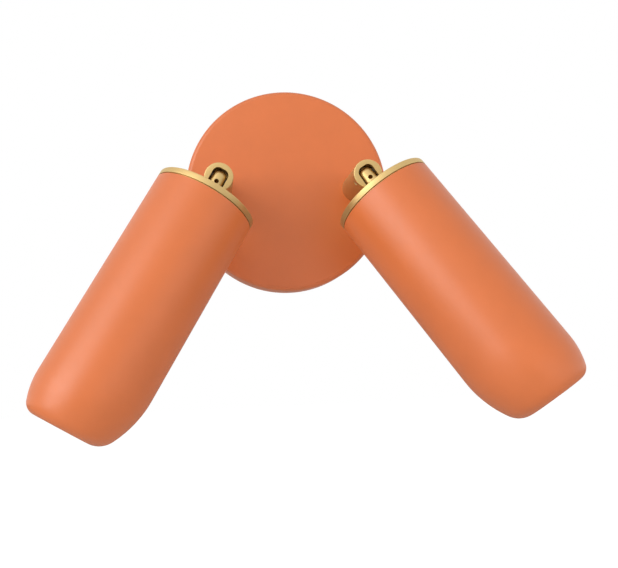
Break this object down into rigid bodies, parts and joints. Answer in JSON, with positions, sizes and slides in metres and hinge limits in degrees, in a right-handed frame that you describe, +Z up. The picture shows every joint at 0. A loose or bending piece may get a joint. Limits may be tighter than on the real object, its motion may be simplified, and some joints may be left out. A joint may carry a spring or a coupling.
{
  "type": "pivoting spotlight wall light",
  "caption": "Wall light with a round back plate and long cylindrical spotlights that swivel and tilt on brass posts.",
  "frame": {"origin": "centre of the plate's back, on the wall", "axes": "+X to the right along the wall, +Z up, +Y into the wall; the light stands out from the wall towards -Y"},
  "size_m": [0.2827, 0.1296, 0.1995],
  "materials": {
    "terracotta_paint": "satin",
    "brass": "satin",
    "zinc_steel": "zinc plated",
    "white_plastic": "matte",
    "white_ceramic": "unglazed",
    "capsule_glass": "frosted",
    "lamp_shell": "gloss",
    "nickel": "plated",
    "lead_sheath": "matte",
    "earth_sheath": "matte"
  },
  "bodies": {
    "plate": {"cover": "terracotta_paint", "wall_bracket": "zinc_steel", "cover_screws": "zinc_steel", "terminal_block": "white_plastic", "terminal_tubes": "brass", "terminal_screws": "zinc_steel", "terminal_fixing_screw": "zinc_steel", "earth_tag": "zinc_steel", "earth_screw": "brass", "earth_lead": "earth_sheath", "left_feed_lead": "lead_sheath", "right_feed_lead": "lead_sheath"},
    "left_post_body": {"left_post": "brass", "left_swivel_washer": "white_plastic", "left_stop_washer": "zinc_steel", "left_swivel_nut": "zinc_steel", "left_pivot_pin": "zinc_steel", "left_pivot_washers": "white_plastic"},
    "left_head": {"left_tongue": "brass", "left_cap": "brass", "left_cap_nut": "zinc_steel", "left_shade": "terracotta_paint", "left_shade_screws": "zinc_steel", "left_holder_strap": "zinc_steel", "left_lampholder": "white_ceramic", "left_holder_screws": "zinc_steel", "left_lamp_base": "lamp_shell", "left_lamp_capsule": "capsule_glass", "left_lamp_pins": "nickel", "left_head_lead": "lead_sheath"},
    "right_post_body": {"right_post": "brass", "right_swivel_washer": "white_plastic", "right_stop_washer": "zinc_steel", "right_swivel_nut": "zinc_steel", "right_pivot_pin": "zinc_steel", "right_pivot_washers": "white_plastic"},
    "right_head": {"right_tongue": "brass", "right_cap": "brass", "right_cap_nut": "zinc_steel", "right_shade": "terracotta_paint", "right_shade_screws": "zinc_steel", "right_holder_strap": "zinc_steel", "right_lampholder": "white_ceramic", "right_holder_screws": "zinc_steel", "right_lamp_base": "lamp_shell", "right_lamp_capsule": "capsule_glass", "right_lamp_pins": "nickel", "right_head_lead": "lead_sheath"}
  },
  "joints": [
    {"name": "left_swivel", "type": "hinge", "parent": "plate", "child": "left_post_body", "pos_m": [-0.041, -0.022, 0], "axis": [0, 1, 0], "range_deg": [-31.1, 148.9]},
    {"name": "left_tilt", "type": "hinge", "parent": "left_post_body", "child": "left_head", "pos_m": [-0.041, -0.0643, 0], "axis": [-0.8563, 0, 0.5165], "range_deg": [-11.5, 78.5]},
    {"name": "right_swivel", "type": "hinge", "parent": "plate", "child": "right_post_body", "pos_m": [0.041, -0.022, 0], "axis": [0, 1, 0], "range_deg": [-147, 33]},
    {"name": "right_tilt", "type": "hinge", "parent": "right_post_body", "child": "right_head", "pos_m": [0.041, -0.0643, 0], "axis": [-0.8387, 0, -0.5446], "range_deg": [-16, 74]}
  ]
}
